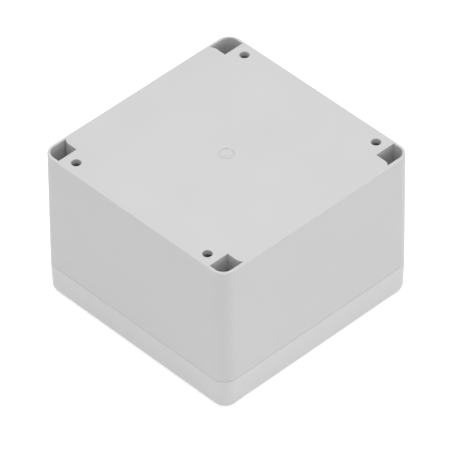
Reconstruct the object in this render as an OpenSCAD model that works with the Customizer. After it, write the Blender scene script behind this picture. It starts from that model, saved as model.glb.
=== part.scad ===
// Sealed project box: a deep base closed by a shallow screwed lid.
// It stands on its lid, as it is stored, with the closed face of the base up.
// The origin is the centre of the lid's outer face, and +Z points at the closed face.
// The front is -Y and the right is +X.

/* [Outside] */
// Width over the rims, along X
box_w = 121.4; // [110:0.1:200]
// Length over the rims, along Y
box_l = 122; // [110:0.1:200]
// Height over the lid and the base
box_h = 85; // [60:0.5:140]
// Height of the lid
lid_h = 17.5; // [16.5:0.1:24]
// Radius of the upright corners at the rims
corner_r = 7.5; // [6:0.1:9]
// Draft of the base's sides, in degrees
base_draft = 0.26; // [0.1:0.01:0.6]
// Draft of the lid's sides, in degrees
lid_draft = 1.8; // [0.5:0.1:2.5]
// Rounding round the closed face of the base
base_edge_r = 0.5; // [0.2:0.1:1.5]
// Rounding round the outer face of the lid
lid_edge_r = 4; // [1:0.1:4.5]
// Bevel on the outer edge of both rims
rim_bevel = 0.05; // [0.02:0.01:0.3]
// Hairline between the rims on the outside, the parting line
seam_gap = 0.14; // [0.04:0.02:0.3]
// How far the hairline goes in before the rims touch
seam_depth = 0.7; // [0.4:0.1:0.9]

/* [Walls] */
// Side walls at the rims
wall = 3; // [2.8:0.1:4]
// Floor behind the closed face of the base
floor_t = 3; // [2:0.1:5]
// Plate of the lid
lid_t = 2.8; // [2:0.1:4]
// Inside corners of the cavity
cavity_r = 2.2; // [2:0.1:3.5]
// Corners of the cavity that stand out between its arms
shoulder_r = 6; // [3:0.1:8]

/* [Screw columns] */
// Width of the open pocket in a column, along X
pocket_w = 8.85; // [8:0.05:10]
// Length of the open pocket in a column, along Y
pocket_l = 11.4; // [10:0.05:14]
// Skin between a pocket and the outside, at the closed face
pocket_skin = 1.55; // [1.2:0.05:2]
// Rounding of a pocket's outer corner
pocket_r = 5.2; // [2:0.1:6]
// Wall between a pocket and the cavity
column_wall = 2.4; // [2:0.1:4]
// Solid boss that is left between a pocket and the rim
boss_h = 14.5; // [13:0.1:25]

/* [Mounting holes] */
// Mounting hole, diameter
mount_d = 4.8; // [3:0.1:5.5]
// Channel behind a mounting hole, diameter
channel_d = 9; // [7:0.1:9.6]
// Floor that the mounting screw's head bears on
mount_seat_t = 3; // [2:0.1:6]
// Channel axis to the rim's outer edge, along X
mount_inset_x = 17.2; // [16.8:0.1:24]
// Channel axis to the rim's outer edge, along Y
mount_inset_y = 6.85; // [6.5:0.05:9]
// Wall between a channel and the cavity
channel_wall = 3; // [2.8:0.1:5]
// Break on the edge of a mounting hole
mount_edge = 0.15; // [0.05:0.05:0.5]

/* [Seal] */
// Thickness of the tongue on the base's rim
tongue_t = 1.2; // [0.8:0.1:1.6]
// Height of the tongue
tongue_h = 1.5; // [0.8:0.1:2]
// Gap each side of the tongue in its groove
tongue_gap = 0.4; // [0.2:0.05:0.5]
// Height of the gasket below the tongue
gasket_h = 2.5; // [1.5:0.1:4]
// Gap each side of the gasket in its groove
gasket_gap = 0.03; // [0.01:0.01:0.1]
// Thickness of the lid's rib inside the groove
rib_t = 1.5; // [1:0.1:1.7]

/* [Lid screws] */
// Screw shank, diameter
screw_d = 3.9; // [3:0.1:4]
// Length of the shank below the head
screw_l = 16; // [14.5:0.5:20]
// Screw head, diameter
head_d = 7; // [6:0.1:7.2]
// Screw head, height
head_h = 2.6; // [1.5:0.1:3.5]
// Washer under the head, diameter
washer_d = 7.4; // [6.5:0.1:7.6]
// Washer under the head, thickness
washer_t = 0.8; // [0.5:0.1:1.2]
// Lid between the seat of the washer and the rim
seat_t = 5.1; // [4:0.1:6]
// Gap round the washer in its well
well_gap = 0.2; // [0.1:0.05:0.4]
// Gap round the shank in the lid
shank_gap = 0.3; // [0.1:0.05:0.5]
// Running clearance of the shank in the washer and in the insert
thread_gap = 0.05; // [0.02:0.01:0.08]
// Width of the cross slots in the head
slot_w = 1; // [0.6:0.1:1.4]
// Length of the cross slots in the head
slot_l = 4.4; // [3:0.1:5]
// Depth of the cross slots in the head
slot_depth = 1.5; // [0.8:0.1:1.8]

/* [Threaded inserts] */
// Insert, outer diameter
insert_d = 5.7; // [5:0.1:6]
// Insert, length
insert_l = 8; // [5:0.5:9]
// Rim of the base to the near end of the insert
insert_depth = 1.7; // [0.5:0.1:3]
// Insert, diameter of its waist
insert_waist_d = 5; // [4.6:0.1:5.4]
// Insert, length of its waist
insert_waist_l = 2.4; // [1:0.1:4]
// Pilot hole past the insert, diameter
pilot_d = 4.4; // [4.2:0.1:4.6]
// Pilot hole past the end of the screw
pilot_spare = 1.5; // [0.5:0.1:2]
// Gap round the insert in its hole
insert_gap = 0.01; // [0.005:0.005:0.02]

/* [Board posts] */
// Distance between posts, along X
post_span_x = 80; // [30:1:96]
// Distance between posts, along Y
post_span_y = 64; // [30:1:78]
// Post, diameter
post_d = 6.5; // [5:0.1:8]
// Post, height
post_h = 8; // [4:0.5:15]
// Hole in a post, diameter
post_hole_d = 2.6; // [2:0.1:3.5]
// Hole in a post, depth
post_hole_depth = 6.5; // [3:0.5:9]

/* [Board guides] */
// Pairs of guide ribs on each side wall
guide_pairs = 3; // [1:1:4]
// Distance between pairs
guide_pitch = 24; // [12:1:26]
// Slot between the two ribs of a pair
guide_slot = 2; // [1.2:0.1:3]
// Thickness of a guide rib
guide_t = 1.4; // [1:0.1:2]
// Height of a guide rib off its wall
guide_rise = 1.8; // [1:0.1:3]
// Rim to the near end of the guides
guide_setback = 12; // [5:1:30]

/* [Gate mark] */
// Gate mark off the middle of the closed face, along X
gate_x = 0.8; // [-2:0.1:2]
// Gate mark off the middle of the closed face, along Y
gate_y = -0.8; // [-2:0.1:2]
// Groove round the gate mark, outer diameter
gate_d = 7.7; // [6:0.1:10]
// Groove round the gate mark, width
gate_groove_w = 0.8; // [0.4:0.1:1.2]
// Groove round the gate mark, depth
gate_depth = 0.3; // [0.25:0.05:0.6]
// Face inside the groove, below the closed face
gate_sink = 0.16; // [0.14:0.02:0.2]
// Stub of the gate, diameter
gate_stub_d = 3; // [1:0.1:4]
// Stub of the gate, height over the face inside the groove
gate_stub_h = 0.12; // [0.02:0.02:0.12]

/* [Hidden] */
CORNERS = [["front_left", -1, -1], ["front_right", 1, -1], ["rear_right", 1, 1], ["rear_left", -1, 1]];

$fn = 96;
// Cuts run this far past the face that they open
over = 1;

// Levels
base_h = box_h - lid_h;
rim_z = lid_h;
floor_z = box_h - floor_t;
tongue_z = rim_z - tongue_h;
groove_z = tongue_z - gasket_h;
insert_z = rim_z + insert_depth;
seat_z = rim_z - seat_t;
head_z = seat_z - washer_t;
screw_end_z = head_z + screw_l;

// Half sizes of the cavity: two arms that cross, clear of the columns and channels
face_half_w = box_w / 2 - base_h * tan(base_draft);
face_half_l = box_l / 2 - base_h * tan(base_draft);
pocket_x = face_half_w - pocket_skin;
pocket_y = face_half_l - pocket_skin;
channel_x = box_w / 2 - mount_inset_x;
channel_y = box_l / 2 - mount_inset_y;
cavity_half_w = box_w / 2 - wall;
cavity_half_l = box_l / 2 - wall;
arm_half_w = channel_x - channel_d / 2 - channel_wall;
arm_half_l = pocket_y - pocket_l - column_wall;
screw_x = pocket_x - pocket_w / 2;
screw_y = pocket_y - pocket_l / 2;

// Bends of a column's wall, concentric with the cavity's inside corner
bend_x = cavity_half_w - cavity_r;
bend_y = arm_half_l - cavity_r;
bend_r = cavity_r + column_wall;

// Bores
bore_d = screw_d + 2 * thread_gap;

module each_corner() {
    for (mx = [0, 1], my = [0, 1])
        mirror([mx, 0, 0])
            mirror([0, my, 0])
                children();
}

module rounded_rect(half_w, half_l, r) {
    square([2 * (half_w - r), 2 * half_l], center = true);
    square([2 * half_w, 2 * (half_l - r)], center = true);
    for (sx = [-1, 1], sy = [-1, 1])
        translate([sx * (half_w - r), sy * (half_l - r)])
            circle(r = r);
}

// Outline of the cavity, grown by e all round: the tongue, groove, rib and gasket follow it
module loop_outline(e) {
    rounded_rect(cavity_half_w + e, arm_half_l + e, cavity_r + e);
    rounded_rect(arm_half_w + e, cavity_half_l + e, cavity_r + e);
    each_corner()
        difference() {
            translate([arm_half_w + e - over, arm_half_l + e - over])
                square(shoulder_r - e + over);
            translate([arm_half_w + shoulder_r, arm_half_l + shoulder_r])
                circle(r = shoulder_r - e);
        }
}

module loop_band(e_in, e_out, h) {
    linear_extrude(height = h)
        difference() {
            loop_outline(e_out);
            loop_outline(e_in);
        }
}

// Half section of a drafted side: the face at y = 0 is rounded, the rim at y = h is bevelled
// and set back by half the hairline on its outer part
module side_section(half, h, draft, edge_r) {
    seam_y = h - seam_gap / 2;
    bevel_y = seam_y - rim_bevel;
    foot = half - h * tan(draft);
    edge_x = foot + edge_r * tan(draft) - edge_r / cos(draft);
    polygon([[0, 0], [edge_x, 0],
        [edge_x + edge_r * cos(draft), edge_r - edge_r * sin(draft)],
        [half - (h - bevel_y) * tan(draft), bevel_y],
        [half - rim_bevel, seam_y], [half - seam_depth, seam_y],
        [half - seam_depth, h], [0, h]]);
    intersection() {
        translate([edge_x, edge_r])
            circle(r = edge_r);
        translate([edge_x, 0])
            square(edge_r);
    }
}

// Drafted block with rounded corners: its face at z = 0, its wider rim at z = h
module drafted_block(h, draft, edge_r) {
    straight_w = box_w / 2 - corner_r;
    straight_l = box_l / 2 - corner_r;
    translate([-straight_w, -straight_l, 0])
        cube([2 * straight_w, 2 * straight_l, h]);
    for (m = [0, 1]) {
        mirror([m, 0, 0])
            translate([straight_w, 0, 0])
                rotate([90, 0, 0])
                    linear_extrude(height = 2 * straight_l, center = true)
                        side_section(corner_r, h, draft, edge_r);
        mirror([0, m, 0])
            translate([0, straight_l, 0])
                rotate([90, 0, 90])
                    linear_extrude(height = 2 * straight_w, center = true)
                        side_section(corner_r, h, draft, edge_r);
    }
    each_corner()
        translate([straight_w, straight_l, 0])
            rotate_extrude(angle = 90)
                side_section(corner_r, h, draft, edge_r);
}

// A pocket keeps its column's walls even: its tip follows the bend of the column's wall
module pocket_outline() {
    near_x = pocket_x - pocket_w;
    near_y = pocket_y - pocket_l;
    difference() {
        polygon([[near_x, near_y], [bend_x, near_y], [bend_x, bend_y],
            [pocket_x, bend_y], [pocket_x, pocket_y], [near_x, pocket_y]]);
        translate([bend_x, bend_y])
            circle(r = bend_r);
        translate([pocket_x - pocket_r, pocket_y - pocket_r])
            difference() {
                square(pocket_r + over);
                circle(r = pocket_r);
            }
    }
}

module mounting_channel() {
    translate([channel_x, channel_y, rim_z - over])
        cylinder(d = channel_d, h = base_h - mount_seat_t + over);
    translate([channel_x, channel_y, rim_z])
        cylinder(d = mount_d, h = base_h + over);
    translate([channel_x, channel_y, box_h - mount_edge])
        cylinder(d1 = mount_d, d2 = mount_d + 4 * mount_edge, h = 2 * mount_edge);
}

module insert_hole() {
    translate([screw_x, screw_y, rim_z - over])
        cylinder(d = insert_d + 2 * insert_gap, h = over + insert_depth + insert_l);
    translate([screw_x, screw_y, rim_z])
        cylinder(d = pilot_d, h = screw_end_z + pilot_spare - rim_z);
}

module board_post() {
    translate([post_span_x / 2, post_span_y / 2, floor_z - post_h])
        difference() {
            cylinder(d = post_d, h = post_h + over);
            translate([0, 0, -over])
                cylinder(d = post_hole_d, h = post_hole_depth + over);
        }
}

module board_guides() {
    rib_y = (guide_slot + guide_t) / 2;
    for (sx = [0, 1], i = [0 : guide_pairs - 1], side = [-1, 1])
        mirror([sx, 0, 0])
            translate([cavity_half_w - guide_rise,
                (i - (guide_pairs - 1) / 2) * guide_pitch + side * rib_y - guide_t / 2,
                rim_z + guide_setback])
                cube([guide_rise + over, guide_t, floor_z - rim_z - guide_setback + over]);
}

// Sunk gate mark: a groove, a face inside it and the sheared stub of the gate
module gate_mark() {
    face_h = gate_depth - gate_sink;
    translate([gate_x, gate_y, box_h - gate_depth])
        difference() {
            cylinder(d = gate_d, h = gate_depth + over);
            translate([0, 0, -over])
                cylinder(d = gate_d - 2 * gate_groove_w, h = face_h + over);
            cylinder(d = gate_stub_d, h = face_h + gate_stub_h);
        }
}

module base() {
    color([0.84, 0.84, 0.84]) {
        difference() {
            translate([0, 0, box_h])
                mirror([0, 0, 1])
                    drafted_block(base_h, base_draft, base_edge_r);
            translate([0, 0, rim_z - over])
                linear_extrude(height = floor_z - rim_z + over)
                    loop_outline(0);
            each_corner() {
                translate([0, 0, rim_z + boss_h])
                    linear_extrude(height = base_h)
                        pocket_outline();
                mounting_channel();
                insert_hole();
            }
            gate_mark();
        }
        each_corner()
            board_post();
        board_guides();
        translate([0, 0, tongue_z])
            loop_band(0, tongue_t, tongue_h + over);
    }
}

module lid() {
    color([0.86, 0.86, 0.86])
        difference() {
            drafted_block(lid_h, lid_draft, lid_edge_r);
            translate([0, 0, lid_t])
                linear_extrude(height = lid_h)
                    loop_outline(-tongue_gap - rib_t);
            translate([0, 0, groove_z])
                loop_band(-tongue_gap, tongue_t + tongue_gap, lid_h);
            each_corner() {
                translate([channel_x, channel_y, lid_t])
                    cylinder(d = channel_d, h = lid_h);
                translate([screw_x, screw_y, -over])
                    cylinder(d = washer_d + 2 * well_gap, h = seat_z + over);
                translate([screw_x, screw_y, 0])
                    cylinder(d = screw_d + 2 * shank_gap, h = lid_h + over);
            }
        }
}

module gasket() {
    color([0.2, 0.2, 0.2])
        translate([0, 0, groove_z])
            loop_band(-tongue_gap + gasket_gap, tongue_t + tongue_gap - gasket_gap, gasket_h);
}

module at_screw(c) {
    translate([c[1] * screw_x, c[2] * screw_y, 0])
        children();
}

module lid_screw(c) {
    color([0.75, 0.75, 0.77])
        at_screw(c)
            difference() {
                union() {
                    translate([0, 0, head_z])
                        cylinder(d = screw_d, h = screw_l);
                    translate([0, 0, head_z - head_h])
                        cylinder(d = head_d, h = head_h);
                }
                for (a = [0, 90])
                    translate([0, 0, head_z - head_h])
                        rotate([0, 0, a])
                            cube([slot_l, slot_w, 2 * slot_depth], center = true);
            }
}

module screw_washer(c) {
    color([0.9, 0.9, 0.88])
        at_screw(c)
            translate([0, 0, head_z])
                difference() {
                    cylinder(d = washer_d, h = washer_t);
                    translate([0, 0, -over])
                        cylinder(d = bore_d, h = washer_t + 2 * over);
                }
}

module threaded_insert(c) {
    waist_z = (insert_l - insert_waist_l) / 2;
    color([0.8, 0.65, 0.3])
        at_screw(c)
            translate([0, 0, insert_z])
                difference() {
                    cylinder(d = insert_d, h = insert_l);
                    translate([0, 0, waist_z])
                        difference() {
                            cylinder(d = insert_d + over, h = insert_waist_l);
                            cylinder(d = insert_waist_d, h = insert_waist_l);
                        }
                    translate([0, 0, -over])
                        cylinder(d = bore_d, h = insert_l + 2 * over);
                }
}

base();
lid();
gasket();
for (c = CORNERS) {
    lid_screw(c);
    screw_washer(c);
    threaded_insert(c);
}
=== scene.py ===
# %% [markdown]
# # A plastic project box, dressed for its picture
# The box stands on its lid with the closed face of the base up. Its solids come from the
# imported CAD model, already at their real size and place, so this script only adds what a
# camera sees: the finish of every surface, the small fasteners in full detail, a floor,
# soft light and a camera. Lengths are metres, mostly written as so many millimetres, and
# two points closer than a thousandth of a millimetre count as one place.

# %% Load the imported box
import math

import bmesh
import bpy
from mathutils import Matrix, Vector


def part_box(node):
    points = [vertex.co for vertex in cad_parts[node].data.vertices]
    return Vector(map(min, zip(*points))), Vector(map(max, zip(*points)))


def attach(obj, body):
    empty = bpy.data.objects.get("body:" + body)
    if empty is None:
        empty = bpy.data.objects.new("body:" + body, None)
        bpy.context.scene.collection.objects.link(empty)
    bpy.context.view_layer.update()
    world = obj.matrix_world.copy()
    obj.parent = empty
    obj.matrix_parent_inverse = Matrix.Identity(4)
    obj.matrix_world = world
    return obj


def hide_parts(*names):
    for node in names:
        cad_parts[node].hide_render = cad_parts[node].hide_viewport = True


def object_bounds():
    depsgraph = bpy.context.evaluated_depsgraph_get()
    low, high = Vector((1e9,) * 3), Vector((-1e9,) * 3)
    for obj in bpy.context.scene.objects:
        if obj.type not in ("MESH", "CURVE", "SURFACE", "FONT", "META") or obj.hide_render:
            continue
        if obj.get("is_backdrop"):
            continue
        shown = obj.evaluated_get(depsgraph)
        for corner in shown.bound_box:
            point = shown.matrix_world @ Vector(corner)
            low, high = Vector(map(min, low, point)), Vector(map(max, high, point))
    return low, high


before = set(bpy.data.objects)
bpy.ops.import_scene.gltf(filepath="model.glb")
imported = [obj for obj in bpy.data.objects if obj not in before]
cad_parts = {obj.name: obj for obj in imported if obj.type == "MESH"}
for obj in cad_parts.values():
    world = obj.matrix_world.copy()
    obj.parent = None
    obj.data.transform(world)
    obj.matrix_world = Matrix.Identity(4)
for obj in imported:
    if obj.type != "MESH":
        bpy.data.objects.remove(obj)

cad_low, cad_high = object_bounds()
MM = 0.001
TINY = 0.001 * MM
CORNERS = ["front_left", "front_right", "rear_right", "rear_left"]
print("CAD box, mm:", [round(side / MM, 2) for side in cad_high - cad_low])

# %% [markdown]
# ## The camera
# A product camera stands far away and looks through a long lens, which keeps the box's
# upright edges almost parallel. Its angle, distance and lens come from fitting the box's
# corners and holes to their places in the picture. The camera is built from the direction
# back towards it, then rolled by a fraction of a degree as a tripod head is. A small shift
# of the lens moves the box a few pixels up and to the right, to its place in the frame.

# %% Camera
AZIMUTH, ELEVATION, ROLL = math.radians(46.251), math.radians(42.275), math.radians(-0.65)
DISTANCE = 2.7106
LENS_MM = 465.2
LENS_SHIFT = (-0.00464, -0.01034)

back = Vector((math.sin(AZIMUTH) * math.cos(ELEVATION),
               -math.cos(AZIMUTH) * math.cos(ELEVATION), math.sin(ELEVATION)))
side = Vector((0, 0, 1)).cross(back).normalized()
up = back.cross(side)
rolled_side = math.cos(ROLL) * side + math.sin(ROLL) * up
rolled_up = math.cos(ROLL) * up - math.sin(ROLL) * side

bpy.ops.object.camera_add()
camera = bpy.context.object
camera.name = "camera"
camera.data.lens = LENS_MM
camera.data.shift_x, camera.data.shift_y = LENS_SHIFT
camera.data.clip_start, camera.data.clip_end = 0.1, 30
middle = Vector((0, 0, cad_high.z / 2))
camera.matrix_world = Matrix.Translation(middle + DISTANCE * back) @ Matrix(
    (rolled_side, rolled_up, back)).transposed().to_4x4()
bpy.context.scene.camera = camera
print("camera at", [round(v, 3) for v in camera.location])

# %% [markdown]
# ## One helper for nodes, one for colours
# A material is a small graph. One function adds any node, sets its options and feeds its
# inputs, either with a number or with another node's output. Colours are written as the
# hex values that a colour picker shows, and one function turns them to the linear numbers
# that a shader works with.

# %% Nodes and colours
def add_node(tree, kind, options=None, inputs=None):
    """Adds one node; an input is a plain value or the output socket that feeds it."""
    node = tree.nodes.new(kind)
    for name, value in (options or {}).items():
        setattr(node, name, value)
    for name, value in (inputs or {}).items():
        if isinstance(value, bpy.types.NodeSocket):
            tree.links.new(value, node.inputs[name])
        else:
            node.inputs[name].default_value = value
    return node


def linear(hex_colour):
    """The linear colour of an sRGB hex value."""
    parts = [int(hex_colour[i:i + 2], 16) / 255 for i in (1, 3, 5)]
    return [p / 12.92 if p <= 0.04045 else ((p + 0.055) / 1.055) ** 2.4 for p in parts] + [1]


print("the middle grey #808080 sends back", round(linear("#808080")[0], 3), "of the light")

# %% [markdown]
# ## What every finish here shares
# Moulded plastic, headed steel and rubber look different, but each has a shader, a colour
# that drifts a little and a fine skin. Noise on Object coordinates makes both: it stays
# where it is when a piece moves, and needs no unwrapping. A pattern's scale is a count of
# features per metre, so it is worked out from the size of one feature in millimetres. The
# noise lies mostly between 0.3 and 0.7, and these two ends carry the two shades.

# %% Parts of a finish
DRIFT_LOW, DRIFT_HIGH = 0.3, 0.7


def per_metre(size_mm):
    """The pattern scale at which one feature is about this many millimetres across."""
    return 1 / (size_mm * MM)


def start_finish(name, roughness, ior=None, metallic=0.0):
    """A new material with its shader, and the place of each point on its piece."""
    finish = bpy.data.materials.new(name)
    finish.use_nodes = True
    shader = finish.node_tree.nodes["Principled BSDF"]
    shader.inputs["Roughness"].default_value = roughness
    shader.inputs["Metallic"].default_value = metallic
    if ior:
        shader.inputs["IOR"].default_value = ior
    place = add_node(finish.node_tree, "ShaderNodeTexCoord").outputs["Object"]
    return finish, shader, place


def mottle(finish, shader, place, darker, lighter, size_mm):
    """Drifts the colour slowly between two near shades, and returns the drift."""
    tree = finish.node_tree
    drift = add_node(tree, "ShaderNodeTexNoise", inputs={
        "Vector": place, "Scale": per_metre(size_mm), "Detail": 3.0})
    shades = add_node(tree, "ShaderNodeValToRGB", inputs={"Fac": drift.outputs["Fac"]})
    for stop, position, colour in zip(
            shades.color_ramp.elements, (DRIFT_LOW, DRIFT_HIGH), (darker, lighter)):
        stop.position = position
        stop.color = linear(colour)
    tree.links.new(shades.outputs["Color"], shader.inputs["Base Color"])
    return drift.outputs["Fac"]


def grain(finish, shader, place, size_mm, depth_mm):
    """Roughens the surface with grains of this size and depth."""
    tree = finish.node_tree
    grains = add_node(tree, "ShaderNodeTexNoise", inputs={
        "Vector": place, "Scale": per_metre(size_mm), "Detail": 2.0})
    relief = add_node(tree, "ShaderNodeBump", inputs={
        "Height": grains.outputs["Fac"], "Distance": depth_mm * MM, "Strength": 1.0})
    tree.links.new(relief.outputs["Normal"], shader.inputs["Normal"])


print("a 1 mm pattern has a scale of", round(per_metre(1)), "per metre")

# %% [markdown]
# ## Light grey ABS, moulded against a spark-eroded steel mould
# ABS (a tough, opaque styrene plastic) comes out of the mould with the mould's own skin.
# Spark erosion leaves the steel covered in tiny round pits, so the plastic gets an even
# satin matt skin with a soft, wide highlight and no visible direction. The pigment is
# mixed in, so colour and gloss only drift by a shade where the melt flowed slower. The
# real pits are about 0.05 mm wide and 0.004 mm deep. Both are drawn about seven times as
# large, which keeps their slopes true and lets a close view show them faintly.

# %% Plastic of the base and the lid
ABS_IOR = 1.53
SATIN, SATIN_DRIFT = 0.5, 0.04


def moulded_abs(name, darker, lighter):
    """Satin grey plastic with the skin of a spark-eroded mould."""
    finish, shader, place = start_finish(name, roughness=SATIN, ior=ABS_IOR)
    drift = mottle(finish, shader, place, darker, lighter, size_mm=40)
    satin = add_node(finish.node_tree, "ShaderNodeMapRange", inputs={
        "Value": drift, "From Min": DRIFT_LOW, "From Max": DRIFT_HIGH,
        "To Min": SATIN - SATIN_DRIFT, "To Max": SATIN + SATIN_DRIFT})
    finish.node_tree.links.new(satin.outputs["Result"], shader.inputs["Roughness"])
    grain(finish, shader, place, size_mm=0.35, depth_mm=0.03)
    return finish


base_abs = moulded_abs("light_grey_abs_moulded_base", "#C8C8C8", "#CBCBCB")
# The lid's copy of this plastic is a few shades lighter than the base's. That lighter shade is
# painted light: it stands in for the bounce from the white floor that brightens the lid's band.
lid_abs_painted_bounce = moulded_abs("light_grey_abs_lid_painted_bounce", "#CFCFCF", "#D2D2D2")
for node, finish in (("base", base_abs), ("lid", lid_abs_painted_bounce)):
    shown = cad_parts[node]
    shown.data.materials.clear()
    shown.data.materials.append(finish)
    print(node, "is finished in", finish.name)

# %% [markdown]
# ## Picking by place
# Each new piece is shaped with the same operators that a person uses in the window. An
# operator acts on what is selected. A person clicks on an edge, and a script picks it by
# where it is: a test looks at the corners of each part and says whether it is wanted.

# %% Picking
def pick(piece, kind, wanted):
    """In edit mode, selects only the vertices, edges or faces that the test wants."""
    bpy.ops.mesh.select_mode(type=kind)
    bpy.ops.mesh.select_all(action="DESELECT")
    shape = bmesh.from_edit_mesh(piece.data)
    parts = {"VERT": shape.verts, "EDGE": shape.edges, "FACE": shape.faces}[kind]
    for part in parts:
        spots = [part.co] if kind == "VERT" else [v.co for v in part.verts]
        if wanted(spots):
            part.select_set(True)
    shape.select_flush_mode()
    bmesh.update_edit_mesh(piece.data)


def at_height(z):
    """A test for what lies wholly at one height."""
    return lambda spots: all(abs(s.z - z) < TINY for s in spots)


print("an edge from 0 to 1 mm lies at height 0:", at_height(0)([Vector(), Vector((0, 0, MM))]))

# %% [markdown]
# ## Starting, cutting and copying a piece
# A piece starts as a primitive, with nothing else selected. Its place is written into its
# mesh at once, so that its object stays at the origin like the CAD nodes and a pattern
# doesn't slide. Modifiers are applied as soon as they are set. What repeats at the four
# corners is modelled once and copied, each copy with its own mesh.

# %% Working on pieces
def work_on(piece):
    """Makes this piece the only one selected, and the active one."""
    bpy.ops.object.select_all(action="DESELECT")
    piece.select_set(True)
    bpy.context.view_layer.objects.active = piece


def start_piece(name, add, **size):
    """Adds a primitive as a named piece, with its place in its mesh."""
    bpy.ops.object.select_all(action="DESELECT")
    add(**size)
    piece = bpy.context.object
    piece.name = piece.data.name = name
    bpy.ops.object.transform_apply(location=True, rotation=True, scale=True)
    return piece


def apply_modifier(piece, kind, **settings):
    """Adds a modifier with its settings and applies it."""
    work_on(piece)
    modifier = piece.modifiers.new(kind.lower(), kind)
    for name, value in settings.items():
        setattr(modifier, name, value)
    bpy.ops.object.modifier_apply(modifier=modifier.name)


def carve(piece, tool, operation="DIFFERENCE"):
    """Cuts one piece with another, or joins or intersects them, and uses the tool up."""
    apply_modifier(piece, "BOOLEAN", object=tool, operation=operation, solver="EXACT")
    bpy.data.objects.remove(tool)


def copy_to(piece, name, shift):
    """A copy with its own mesh, moved from the first corner to another."""
    work_on(piece)
    bpy.ops.object.duplicate(linked=False)
    twin = bpy.context.object
    twin.name = twin.data.name = name
    bpy.ops.transform.translate(value=shift)
    bpy.ops.object.transform_apply(location=True, rotation=False, scale=False)
    return twin


print("CAD nodes to dress:", len(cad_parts))

# %% [markdown]
# ## Finishing a piece
# A boolean leaves doubled points and sometimes a face that looks inwards. Points are
# merged first, then all faces are turned outwards. A turned or moulded surface is smooth
# but its rims are crisp, so shading is smooth only across edges flatter than an angle.

# %% Finishing
HARD_EDGE_DEG = 35


def finish_piece(piece, finish, hard_edge_deg=HARD_EDGE_DEG):
    """Normals out, smooth shading up to hard edges, and its finish."""
    work_on(piece)
    bpy.ops.object.mode_set(mode="EDIT")
    bpy.ops.mesh.select_all(action="SELECT")
    bpy.ops.mesh.remove_doubles(threshold=TINY)
    bpy.ops.mesh.normals_make_consistent(inside=False)
    bpy.ops.object.mode_set(mode="OBJECT")
    bpy.ops.object.shade_smooth_by_angle(angle=math.radians(hard_edge_deg))
    piece.data.materials.clear()
    piece.data.materials.append(finish)
    print(piece.name, "has", len(piece.data.polygons), "faces")


print("edges steeper than", HARD_EDGE_DEG, "degrees stay crisp")

# %% [markdown]
# ## A rolled thread
# A lid screw has a rolled metric thread, and its insert a cut one that fits it. A thread is
# one small profile carried up a spiral, which the Screw modifier does. The profile is made
# from one edge as long as the pitch. It is split in four, and the upper two of its three new
# points are pulled out to the crest and brought closer, which gives the standard 60 degree
# flanks with their flat root and crest, 0.5413 of the pitch deep. Each turn comes out as a
# strip of its own, so the turns are merged. Two flat cuts close the ends; at this size a cut
# needs a far finer threshold than its usual one, or it takes nearby points for points on its
# plane. The same function makes the screw's own thread and the slightly fatter rod that cuts
# the insert's, both on one spiral.

# %% Thread
screw_low, screw_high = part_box("lid_screw_front_left")
screw_axis = Vector(((screw_low.x + screw_high.x) / 2, (screw_low.y + screw_high.y) / 2, 0))
PITCH = 0.7 * MM
THREAD_DEPTH = 0.5413 * PITCH
CREST_MIDDLE = 0.625 * PITCH
STEPS_PER_TURN = 28
CUT_THRESHOLD = 0.1 * TINY
SPIRAL_LOW = screw_low.z + 7 * MM
SPIRAL_HIGH = screw_high.z + 2 * MM
TURNS = math.ceil((SPIRAL_HIGH - SPIRAL_LOW) / PITCH)


def thread_rod(name, crest_r, low_z, high_z):
    """A closed threaded rod on the first screw's axis, cut flat at both heights."""
    rod = start_piece(name, bpy.ops.mesh.primitive_plane_add, size=PITCH,
                      rotation=(math.pi / 2, 0, 0), location=(0, 0, PITCH / 2))
    bpy.ops.object.mode_set(mode="EDIT")
    pick(rod, "VERT", lambda spots: spots[0].x < 0)
    bpy.ops.mesh.delete(type="VERT")
    bpy.ops.mesh.select_all(action="SELECT")
    bpy.ops.transform.translate(value=(crest_r - THREAD_DEPTH - PITCH / 2, 0, 0))
    bpy.ops.mesh.subdivide(number_cuts=3)
    pick(rod, "VERT", lambda spots: abs(spots[0].z - CREST_MIDDLE) < PITCH / 4)
    bpy.ops.transform.translate(value=(THREAD_DEPTH, 0, 0))
    bpy.ops.transform.resize(value=(1, 1, 0.5), center_override=(0, 0, CREST_MIDDLE))
    bpy.ops.object.mode_set(mode="OBJECT")
    apply_modifier(rod, "SCREW", axis="Z", angle=2 * math.pi, screw_offset=PITCH,
                   iterations=TURNS, steps=STEPS_PER_TURN, render_steps=STEPS_PER_TURN)
    bpy.ops.transform.translate(value=(screw_axis.x, screw_axis.y, SPIRAL_LOW))
    bpy.ops.object.transform_apply(location=True)
    bpy.ops.object.mode_set(mode="EDIT")
    bpy.ops.mesh.select_all(action="SELECT")
    bpy.ops.mesh.remove_doubles(threshold=TINY)
    for height, direction in ((low_z, -1), (high_z, 1)):
        bpy.ops.mesh.select_all(action="SELECT")
        bpy.ops.mesh.bisect(plane_co=(0, 0, height), plane_no=(0, 0, direction),
                            use_fill=True, clear_outer=True, threshold=CUT_THRESHOLD)
    bpy.ops.mesh.select_all(action="SELECT")
    bpy.ops.mesh.normals_make_consistent(inside=False)
    bpy.ops.object.mode_set(mode="OBJECT")
    print(name, "is", round((high_z - low_z) / PITCH, 1), "turns long")
    return rod


print("the spiral has", TURNS, "turns and is", round(THREAD_DEPTH / MM, 3), "mm deep")

# %% [markdown]
# ## Stainless steel, cold headed and thread rolled
# Stainless screws are pressed and rolled from wire, not cut. The steel keeps a grey satin
# gloss with a fine orange-peel skin from the dies. As a metal it has no colour under the
# gloss: its base colour tints the reflection. The insert is free-cutting brass turned on a
# lathe, warm yellow and a little smoother. Both skins are really finer than 0.1 mm, and are
# drawn a little coarser so that a close view shows them.

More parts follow.
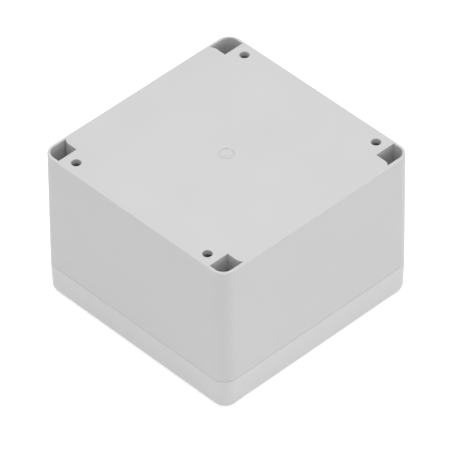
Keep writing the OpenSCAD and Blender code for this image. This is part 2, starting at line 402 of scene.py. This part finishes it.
# %% Metals
steel, steel_shader, steel_place = start_finish(
    "stainless_steel_cold_headed", roughness=0.3, metallic=1.0)
mottle(steel, steel_shader, steel_place, "#B9BBBD", "#C6C8CA", size_mm=1.5)
grain(steel, steel_shader, steel_place, size_mm=0.15, depth_mm=0.002)

brass, brass_shader, brass_place = start_finish(
    "free_cutting_brass_turned", roughness=0.24, metallic=1.0)
mottle(brass, brass_shader, brass_place, "#CDA35A", "#DDB56C", size_mm=2.0)
grain(brass, brass_shader, brass_place, size_mm=0.12, depth_mm=0.0015)
print("metals:", steel.name, "and", brass.name)

# %% [markdown]
# ## The head and shank of a lid screw
# Each screw has a cylinder head with a rounded rim and a plain shank through the lid and
# washer. Both are upset from one wire, so they are one cylinder here too: its inner face is
# inset to the shank's width and pulled up, and the head's rims are bevelled, wide where
# the driver goes in and only just broken where the washer sits.

# %% Head and shank
HEAD_Z = screw_low.z + 2.6 * MM
HEAD_R = (screw_high.x - screw_low.x) / 2
SHANK_R = 1.95 * MM
SHANK_END = HEAD_Z + 6 * MM
SCREW_SIDES = 56
HEAD_ROUND = 0.6 * MM
SEAT_BREAK = 0.15 * MM


def on_the_heads_rim(spots):
    """A test for the rim of the head's inner face."""
    return at_height(HEAD_Z)(spots) and all(
        (s - screw_axis).xy.length > (HEAD_R + SHANK_R) / 2 for s in spots)


def headed_shank():
    """The head with a rounded rim, and the plain shank on it."""
    head = start_piece("screw_head", bpy.ops.mesh.primitive_cylinder_add,
                       vertices=SCREW_SIDES, radius=HEAD_R, depth=HEAD_Z - screw_low.z,
                       location=(screw_axis.x, screw_axis.y, (HEAD_Z + screw_low.z) / 2))
    bpy.ops.object.mode_set(mode="EDIT")
    pick(head, "FACE", at_height(HEAD_Z))
    bpy.ops.mesh.inset(thickness=HEAD_R - SHANK_R)
    bpy.ops.mesh.extrude_region_move(
        TRANSFORM_OT_translate={"value": (0, 0, SHANK_END - HEAD_Z)})
    pick(head, "EDGE", at_height(screw_low.z))
    bpy.ops.mesh.bevel(offset=HEAD_ROUND, segments=5, affect="EDGES")
    pick(head, "EDGE", on_the_heads_rim)
    bpy.ops.mesh.bevel(offset=SEAT_BREAK, segments=2, affect="EDGES")
    bpy.ops.object.mode_set(mode="OBJECT")
    return head


lid_screw = headed_shank()
print("head", round(2 * HEAD_R / MM, 1), "mm across, shank", round(2 * SHANK_R / MM, 1), "mm")

# %% [markdown]
# ## The screw's threaded end
# The rolled thread runs from inside the shank's end to a blunt point. The point is not
# modelled on the thread itself: a plain blank with a bevelled tip is made, and what the
# threaded rod and the blank share is the finished end. It is then joined to the shank.

# %% Threaded end
CREST_R = 1.93 * MM
THREAD_OVERLAP = 0.3 * MM
SPARE = 1 * MM
TIP_BEVEL = 0.45 * MM


def pointed_blank():
    """A cylinder from below the thread to the screw's tip, with the tip's rim bevelled."""
    low_z = SHANK_END - SPARE
    blank = start_piece("pointed_blank", bpy.ops.mesh.primitive_cylinder_add,
                        vertices=SCREW_SIDES, radius=SHANK_R, depth=screw_high.z - low_z,
                        location=(screw_axis.x, screw_axis.y, (screw_high.z + low_z) / 2))
    bpy.ops.object.mode_set(mode="EDIT")
    pick(blank, "EDGE", at_height(screw_high.z))
    bpy.ops.mesh.bevel(offset=TIP_BEVEL, segments=1, affect="EDGES")
    bpy.ops.object.mode_set(mode="OBJECT")
    return blank


rolled = thread_rod("rolled_thread", CREST_R, SHANK_END - THREAD_OVERLAP, screw_high.z + SPARE)
carve(rolled, pointed_blank(), "INTERSECT")
carve(lid_screw, rolled, "UNION")
print("screw so far:", len(lid_screw.data.polygons), "faces")

# %% [markdown]
# ## The cross recess, and the four screws
# A punch presses the cross into the head: two crossed wings that taper as they go in and
# end in a blunt point, where a driver's tip sits. One wing is a block, narrowed at its deep
# face, which is then pulled a little further and narrowed again. The recess is cut at
# another angle in each screw, because no one leaves four screws lined up.

# %% Cross recess and lid screws
WING_SPAN, WING_W, WING_DEPTH = 4.4 * MM, 1.0 * MM, 1.5 * MM
WING_TAPER = (0.4, 0.7, 1)
POINT_H = 0.4 * MM
POINT_TAPER = (0.2, 0.3, 1)
RECESS_TURNS_DEG = {"front_left": 12, "front_right": 57, "rear_right": 81, "rear_left": 34}


def recess_wing(centre, angle):
    """One wing of the cross, centred on the head's outer face."""
    pivot = (centre.x, centre.y, 0)
    wing = start_piece("recess_wing", bpy.ops.mesh.primitive_cube_add, size=1,
                       scale=(WING_SPAN, WING_W, 2 * WING_DEPTH),
                       location=(centre.x, centre.y, screw_low.z))
    bpy.ops.object.mode_set(mode="EDIT")
    pick(wing, "FACE", at_height(screw_low.z + WING_DEPTH))
    bpy.ops.transform.resize(value=WING_TAPER, center_override=pivot)
    bpy.ops.mesh.extrude_region_move(TRANSFORM_OT_translate={"value": (0, 0, POINT_H)})
    bpy.ops.transform.resize(value=POINT_TAPER, center_override=pivot)
    bpy.ops.mesh.select_all(action="SELECT")
    bpy.ops.transform.rotate(value=angle, orient_axis="Z", center_override=pivot)
    bpy.ops.object.mode_set(mode="OBJECT")
    return wing


for corner in CORNERS:
    low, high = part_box("lid_screw_" + corner)
    shift = Vector((low.x - screw_low.x, low.y - screw_low.y, 0))
    screw = copy_to(lid_screw, "machine_screw_" + corner, shift)
    turn = math.radians(RECESS_TURNS_DEG[corner])
    recess = recess_wing(screw_axis + shift, turn)
    carve(recess, recess_wing(screw_axis + shift, turn + math.pi / 2), "UNION")
    carve(screw, recess)
    finish_piece(screw, steel)
    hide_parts("lid_screw_" + corner)
    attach(screw, "lid_screw_" + corner)
bpy.data.objects.remove(lid_screw)

# %% [markdown]
# ## The knurled bands of an insert
# The brass inserts are moulded into the columns. Two bands of slanted teeth, leaning
# opposite ways, stop an insert from turning or pulling out. A band is a cylinder with every
# second upright edge pulled in. Its upper ring is turned a little to slant the teeth, and
# each end is inset and its outer ring pushed back for the chamfer.

# %% Knurled band
insert_low, insert_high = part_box("threaded_insert_front_left")
BAND_R = (insert_high.x - insert_low.x) / 2
BAND_H = 2.8 * MM
TEETH = 30
VALLEY_SHARE = 0.93
OUTER_RING_SHARE = 0.9
TEETH_LEAN_DEG = 9
CHAMFER_IN, CHAMFER_BACK = 0.3 * MM, 0.2 * MM


def in_a_valley(spots):
    """A test for every second upright edge of a band."""
    arm = spots[0] - screw_axis
    return round(math.atan2(arm.y, arm.x) / (math.pi / TEETH)) % 2 == 1


def knurled_band(name, low_z, lean_deg):
    """One toothed band of the insert, its teeth leaning by this angle."""
    pivot = (screw_axis.x, screw_axis.y, 0)
    band = start_piece(name, bpy.ops.mesh.primitive_cylinder_add, vertices=2 * TEETH,
                       radius=BAND_R, depth=BAND_H,
                       location=(screw_axis.x, screw_axis.y, low_z + BAND_H / 2))
    bpy.ops.object.mode_set(mode="EDIT")
    pick(band, "VERT", in_a_valley)
    bpy.ops.transform.resize(value=(VALLEY_SHARE, VALLEY_SHARE, 1), center_override=pivot)
    pick(band, "VERT", at_height(low_z + BAND_H))
    bpy.ops.transform.rotate(value=math.radians(lean_deg), orient_axis="Z",
                             center_override=pivot)
    for height, inward in ((low_z, 1), (low_z + BAND_H, -1)):
        pick(band, "FACE", at_height(height))
        bpy.ops.mesh.inset(thickness=CHAMFER_IN)
        pick(band, "VERT", lambda spots: at_height(height)(spots) and (
            spots[0] - screw_axis).xy.length > OUTER_RING_SHARE * BAND_R)
        bpy.ops.transform.translate(value=(0, 0, inward * CHAMFER_BACK))
    bpy.ops.object.mode_set(mode="OBJECT")
    return band


print("insert", round((insert_high.z - insert_low.z) / MM, 1), "mm long,", TEETH, "teeth a band")

# %% [markdown]
# ## The threaded inserts
# Between its bands an insert has a plain waist, which fills with plastic in the mould. The
# waist and both bands are joined, and the bore is cut with the fatter thread rod. That rod
# has the same spiral as the screw, so the two threads mesh and never touch.

# %% Threaded inserts
WAIST_R = 2.5 * MM
WAIST_SHORTER = 2 * MM
THREAD_CLEARANCE = 0.06 * MM
TAP_SPARE = 0.5 * MM
TOOTH_EDGE_DEG = 25

insert = start_piece("insert_waist", bpy.ops.mesh.primitive_cylinder_add,
                     vertices=SCREW_SIDES, radius=WAIST_R,
                     depth=insert_high.z - insert_low.z - WAIST_SHORTER,
                     location=(screw_axis.x, screw_axis.y,
                               (insert_high.z + insert_low.z) / 2))
carve(insert, knurled_band("near_band", insert_low.z, TEETH_LEAN_DEG), "UNION")
carve(insert, knurled_band("far_band", insert_high.z - BAND_H, -TEETH_LEAN_DEG), "UNION")
tap = thread_rod("tap", CREST_R + THREAD_CLEARANCE,
                 insert_low.z - TAP_SPARE, insert_high.z + TAP_SPARE)
carve(insert, tap)
for corner in CORNERS:
    low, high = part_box("threaded_insert_" + corner)
    shift = (low.x - insert_low.x, low.y - insert_low.y, 0)
    brass_insert = copy_to(insert, "knurled_insert_" + corner, shift)
    finish_piece(brass_insert, brass, hard_edge_deg=TOOTH_EDGE_DEG)
    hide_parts("threaded_insert_" + corner)
    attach(brass_insert, "base")
bpy.data.objects.remove(insert)

# %% [markdown]
# ## The washers
# A nylon washer under each head keeps water out of the screw's hole. Natural nylon is milky
# and slightly waxy, so it lets a little light in below its skin. The mould leaves that skin
# a little uneven, which is drawn coarser than it is. A washer is a short cylinder: both flat
# faces are inset to the width of the bore, and the two inner discs are bridged, which cuts
# the hole and leaves its wall. The rims are then broken.

# %% Washers
washer_low, washer_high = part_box("screw_washer_front_left")
WASHER_SIDES = 64
WASHER_BORE_R = 2.0 * MM
WASHER_BREAK = 0.12 * MM
nylon, nylon_shader, nylon_place = start_finish("natural_nylon_moulded", roughness=0.38, ior=1.53)
nylon_shader.inputs["Subsurface Weight"].default_value = 0.2
nylon_shader.inputs["Subsurface Radius"].default_value = (1.2 * MM, 1.0 * MM, 0.8 * MM)
mottle(nylon, nylon_shader, nylon_place, "#E2DFD3", "#EAE7DD", size_mm=3.0)
grain(nylon, nylon_shader, nylon_place, size_mm=0.2, depth_mm=0.003)


def flat_washer(name, low, high):
    """A washer that fills this box, with broken rims."""
    centre = (low + high) / 2
    outer_r = (high.x - low.x) / 2

    def flat(spots):
        return at_height(low.z)(spots) or at_height(high.z)(spots)

    def inner_disc(spots):
        return flat(spots) and all((s - centre).xy.length < (outer_r + WASHER_BORE_R) / 2
                                   for s in spots)

    def rim(spots):
        start_r, end_r = [(s - centre).xy.length for s in spots]
        return flat(spots) and abs(start_r - end_r) < TINY

    washer = start_piece(name, bpy.ops.mesh.primitive_cylinder_add, vertices=WASHER_SIDES,
                         radius=outer_r, depth=high.z - low.z, location=centre)
    bpy.ops.object.mode_set(mode="EDIT")
    for height in (low.z, high.z):
        pick(washer, "FACE", at_height(height))
        bpy.ops.mesh.inset(thickness=outer_r - WASHER_BORE_R)
    pick(washer, "FACE", inner_disc)
    bpy.ops.mesh.bridge_edge_loops()
    pick(washer, "EDGE", rim)
    bpy.ops.mesh.bevel(offset=WASHER_BREAK, segments=2, affect="EDGES")
    bpy.ops.object.mode_set(mode="OBJECT")
    return washer


washer = flat_washer("flat_washer", washer_low, washer_high)
for corner in CORNERS:
    low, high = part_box("screw_washer_" + corner)
    sealing_washer = copy_to(washer, "sealing_washer_" + corner, low - washer_low)
    finish_piece(sealing_washer, nylon)
    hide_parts("screw_washer_" + corner)
    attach(sealing_washer, "screw_washer_" + corner)
bpy.data.objects.remove(washer)

# %% [markdown]
# ## The line that the gasket follows
# A black rubber cord lies in the lid's groove and follows the outline of the cavity. It runs
# inside the screws, so water that creeps in along a screw still stays out of the box. The
# outline is a cross: a rectangle with each edge pulled out, its inner lines dissolved and
# its corners rounded as vertices.

# %% Outline of the gasket
gasket_low, gasket_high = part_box("gasket")
ARM_HALF_W, ARM_HALF_L = 37.57 * MM, 46.914 * MM
INNER_BEND_R, OUTER_BEND_R = 4.43 * MM, 3.77 * MM
BEND_STEPS = 10

cord = start_piece("sealing_gasket", bpy.ops.mesh.primitive_plane_add, size=2,
                   location=(0, 0, gasket_low.z))
bpy.ops.object.mode_set(mode="EDIT")
bpy.ops.transform.resize(value=(ARM_HALF_W, ARM_HALF_L, 1),
                         center_override=(0, 0, gasket_low.z))
arms = [(0, ARM_HALF_W, ARM_HALF_L, gasket_high.x), (1, ARM_HALF_L, ARM_HALF_W, gasket_high.y)]
for axis, start, half_width, end in arms:
    for way in (1, -1):
        pick(cord, "EDGE", lambda spots: all(
            abs(s[axis] - way * start) < TINY and abs(s[1 - axis]) < half_width + TINY
            for s in spots))
        move = [0, 0, 0]
        move[axis] = way * (end - start)
        bpy.ops.mesh.extrude_region_move(TRANSFORM_OT_translate={"value": move})
bpy.ops.mesh.select_all(action="SELECT")
bpy.ops.mesh.dissolve_faces()


def in_an_inner_bend(spots):
    """A test for the four corners where the cross turns inwards."""
    return all(abs(abs(s.x) - ARM_HALF_W) < TINY and abs(abs(s.y) - ARM_HALF_L) < TINY
               for s in spots)


pick(cord, "VERT", lambda spots: not in_an_inner_bend(spots))
bpy.ops.mesh.bevel(offset=OUTER_BEND_R, segments=BEND_STEPS, affect="VERTICES")
pick(cord, "VERT", in_an_inner_bend)
bpy.ops.mesh.bevel(offset=INNER_BEND_R, segments=BEND_STEPS, affect="VERTICES")
bpy.ops.object.mode_set(mode="OBJECT")
print("gasket's outline has", len(cord.data.vertices), "points")

# %% [markdown]
# ## The gasket's cord
# The cord is extruded rubber, filled with soot: a dull black skin with hardly any gloss and
# a fine grain, drawn 0.25 mm wide so that it shows. An inset turns the filled outline into a
# band as wide as the cord, and the middle is deleted. Solidify gives the band its height,
# and a bevel rounds its edges.

# %% Gasket
CORD_W = 1.94 * MM
CORD_ROUND = 0.5 * MM
CORD_EDGE_DEG = 60
rubber, rubber_shader, rubber_place = start_finish(
    "black_rubber_cord_extruded", roughness=0.75, ior=1.52)
mottle(rubber, rubber_shader, rubber_place, "#1D1D1E", "#262627", size_mm=12.0)
grain(rubber, rubber_shader, rubber_place, size_mm=0.25, depth_mm=0.012)

bpy.ops.object.mode_set(mode="EDIT")
bpy.ops.mesh.select_mode(type="FACE")
bpy.ops.mesh.select_all(action="SELECT")
bpy.ops.mesh.inset(thickness=CORD_W)
bpy.ops.mesh.delete(type="FACE")
bpy.ops.object.mode_set(mode="OBJECT")
apply_modifier(cord, "SOLIDIFY", thickness=gasket_high.z - gasket_low.z, offset=1)
apply_modifier(cord, "BEVEL", width=CORD_ROUND, segments=3, limit_method="ANGLE",
               angle_limit=math.radians(CORD_EDGE_DEG))
finish_piece(cord, rubber)
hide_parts("gasket")
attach(cord, "lid")
print("gasket from", [round(v / MM, 2) for v in gasket_low],
      "piece from", [round(min(v.co[i] for v in cord.data.vertices) / MM, 2) for i in range(3)])

# %% [markdown]
# ## What the camera and a gloss see
# The picture's ground is pure white, but a white so strong would flood the box with light.
# So the floor and the air are brighter only where a ray comes from the camera, a gloss or
# clear glass. The Light Path node tells such rays apart, and both materials use this sum.

# %% Rays that see white
def seen_directly(tree):
    """1 for a ray from the camera, a gloss or clear glass, and 0 for any other."""
    rays = add_node(tree, "ShaderNodeLightPath")
    seen = add_node(tree, "ShaderNodeMath", {"operation": "ADD"}, {
        0: rays.outputs["Is Camera Ray"], 1: rays.outputs["Is Glossy Ray"]})
    seen_through = add_node(tree, "ShaderNodeMath", {"operation": "ADD", "use_clamp": True}, {
        0: seen.outputs["Value"], 1: rays.outputs["Is Transmission Ray"]})
    return seen_through.outputs["Value"]


print("the camera, glosses and clear glass see white")

# %% [markdown]
# ## The floor
# The floor is pale matt paint that keeps the box's soft shadow. Where it is seen it glows a
# little as well, so that the open floor reaches white. It lies a hair below the lid, because
# two surfaces at one height flicker.

# %% Floor
FLOOR_WIDTH = 12
FLOOR_GLOW = 0.5
FLOOR_DROP = 0.05 * MM
bpy.ops.object.select_all(action="DESELECT")
bpy.ops.mesh.primitive_plane_add(size=FLOOR_WIDTH, location=(0, 0, -FLOOR_DROP))
floor = bpy.context.object
floor.name = "studio_floor"
floor_paint = bpy.data.materials.new("studio_floor_paint")
floor_paint.use_nodes = True
paint = floor_paint.node_tree
paint.nodes.remove(paint.nodes["Principled BSDF"])
matt = add_node(paint, "ShaderNodeBsdfDiffuse", inputs={"Color": linear("#F4F4F4")})
lift = add_node(paint, "ShaderNodeMath", {"operation": "MULTIPLY"}, {
    0: seen_directly(paint), 1: FLOOR_GLOW})
glow = add_node(paint, "ShaderNodeEmission", inputs={"Strength": lift.outputs["Value"]})
both = add_node(paint, "ShaderNodeAddShader", inputs={
    0: matt.outputs["BSDF"], 1: glow.outputs["Emission"]})
paint.links.new(both.outputs["Shader"], paint.nodes["Material Output"].inputs["Surface"])
floor.data.materials.append(floor_paint)
floor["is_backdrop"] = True
print("the floor is", FLOOR_WIDTH, "m wide and glows with", FLOOR_GLOW)

# %% [markdown]
# ## The air
# A light tent gives even light from all round, which the world's background stands for. It
# is white where it is seen, and weaker where it only lights the box.

# %% World
AMBIENT = 0.64
SEEN_WHITE = 1.0
world = bpy.data.worlds.new("studio_air")
bpy.context.scene.world = world
world.use_nodes = True
air = world.node_tree
air_level = add_node(air, "ShaderNodeMapRange", inputs={
    "Value": seen_directly(air), "To Min": AMBIENT, "To Max": SEEN_WHITE})
air.links.new(air_level.outputs["Result"], air.nodes["Background"].inputs["Strength"])
air.nodes["Background"].inputs["Color"].default_value = (1, 1, 1, 1)
print("the air lights the box with", AMBIENT)

# %% [markdown]
# ## The softboxes
# One softbox hangs over the box, one stands at each side and one in front, below the
# camera. They are large for so small a box, so nothing casts a hard shadow and its faces
# differ only by a few shades. The right one is the stronger, as the picture's right face is
# the lighter. Their powers were fitted to the tones of the faces and of the pockets' walls.
# The Standard view then shows the colours as they are written.

# %% Softboxes
def in_studio(right, front, height):
    """A spot this far to the camera's right, towards the camera and above the floor."""
    return Vector((right * side.x + front * side.y, right * side.y - front * side.x, height))


softboxes = [("overhead_softbox", in_studio(0, 0.06, 1.0), 0.75, 4.05),
             ("right_softbox", in_studio(1.8, 0, 0.6), 1.0, 5.5),
             ("left_softbox", in_studio(-1.8, 0, 0.6), 1.0, 1.8),
             ("front_softbox", in_studio(0, 1.8, 0.5), 1.0, 2.3)]
for name, spot, width, watts in softboxes:
    bpy.ops.object.light_add(type="AREA", location=spot)
    softbox = bpy.context.object
    softbox.name = name
    softbox.data.shape = "SQUARE"
    softbox.data.size = width
    softbox.data.energy = watts
    softbox.rotation_mode = "QUATERNION"
    softbox.rotation_quaternion = (spot - middle).to_track_quat("Z", "Y")
    print(name, "gives", watts, "W")

bpy.context.scene.view_settings.view_transform = "Standard"

# %% [markdown]
# ## The size, once more
# The finish must not change the box's size, so its box after dressing is printed in
# millimetres, as the CAD box was.

# %% Size and finish
low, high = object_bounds()
print("visual box, mm:", [round(side / MM, 2) for side in high - low])
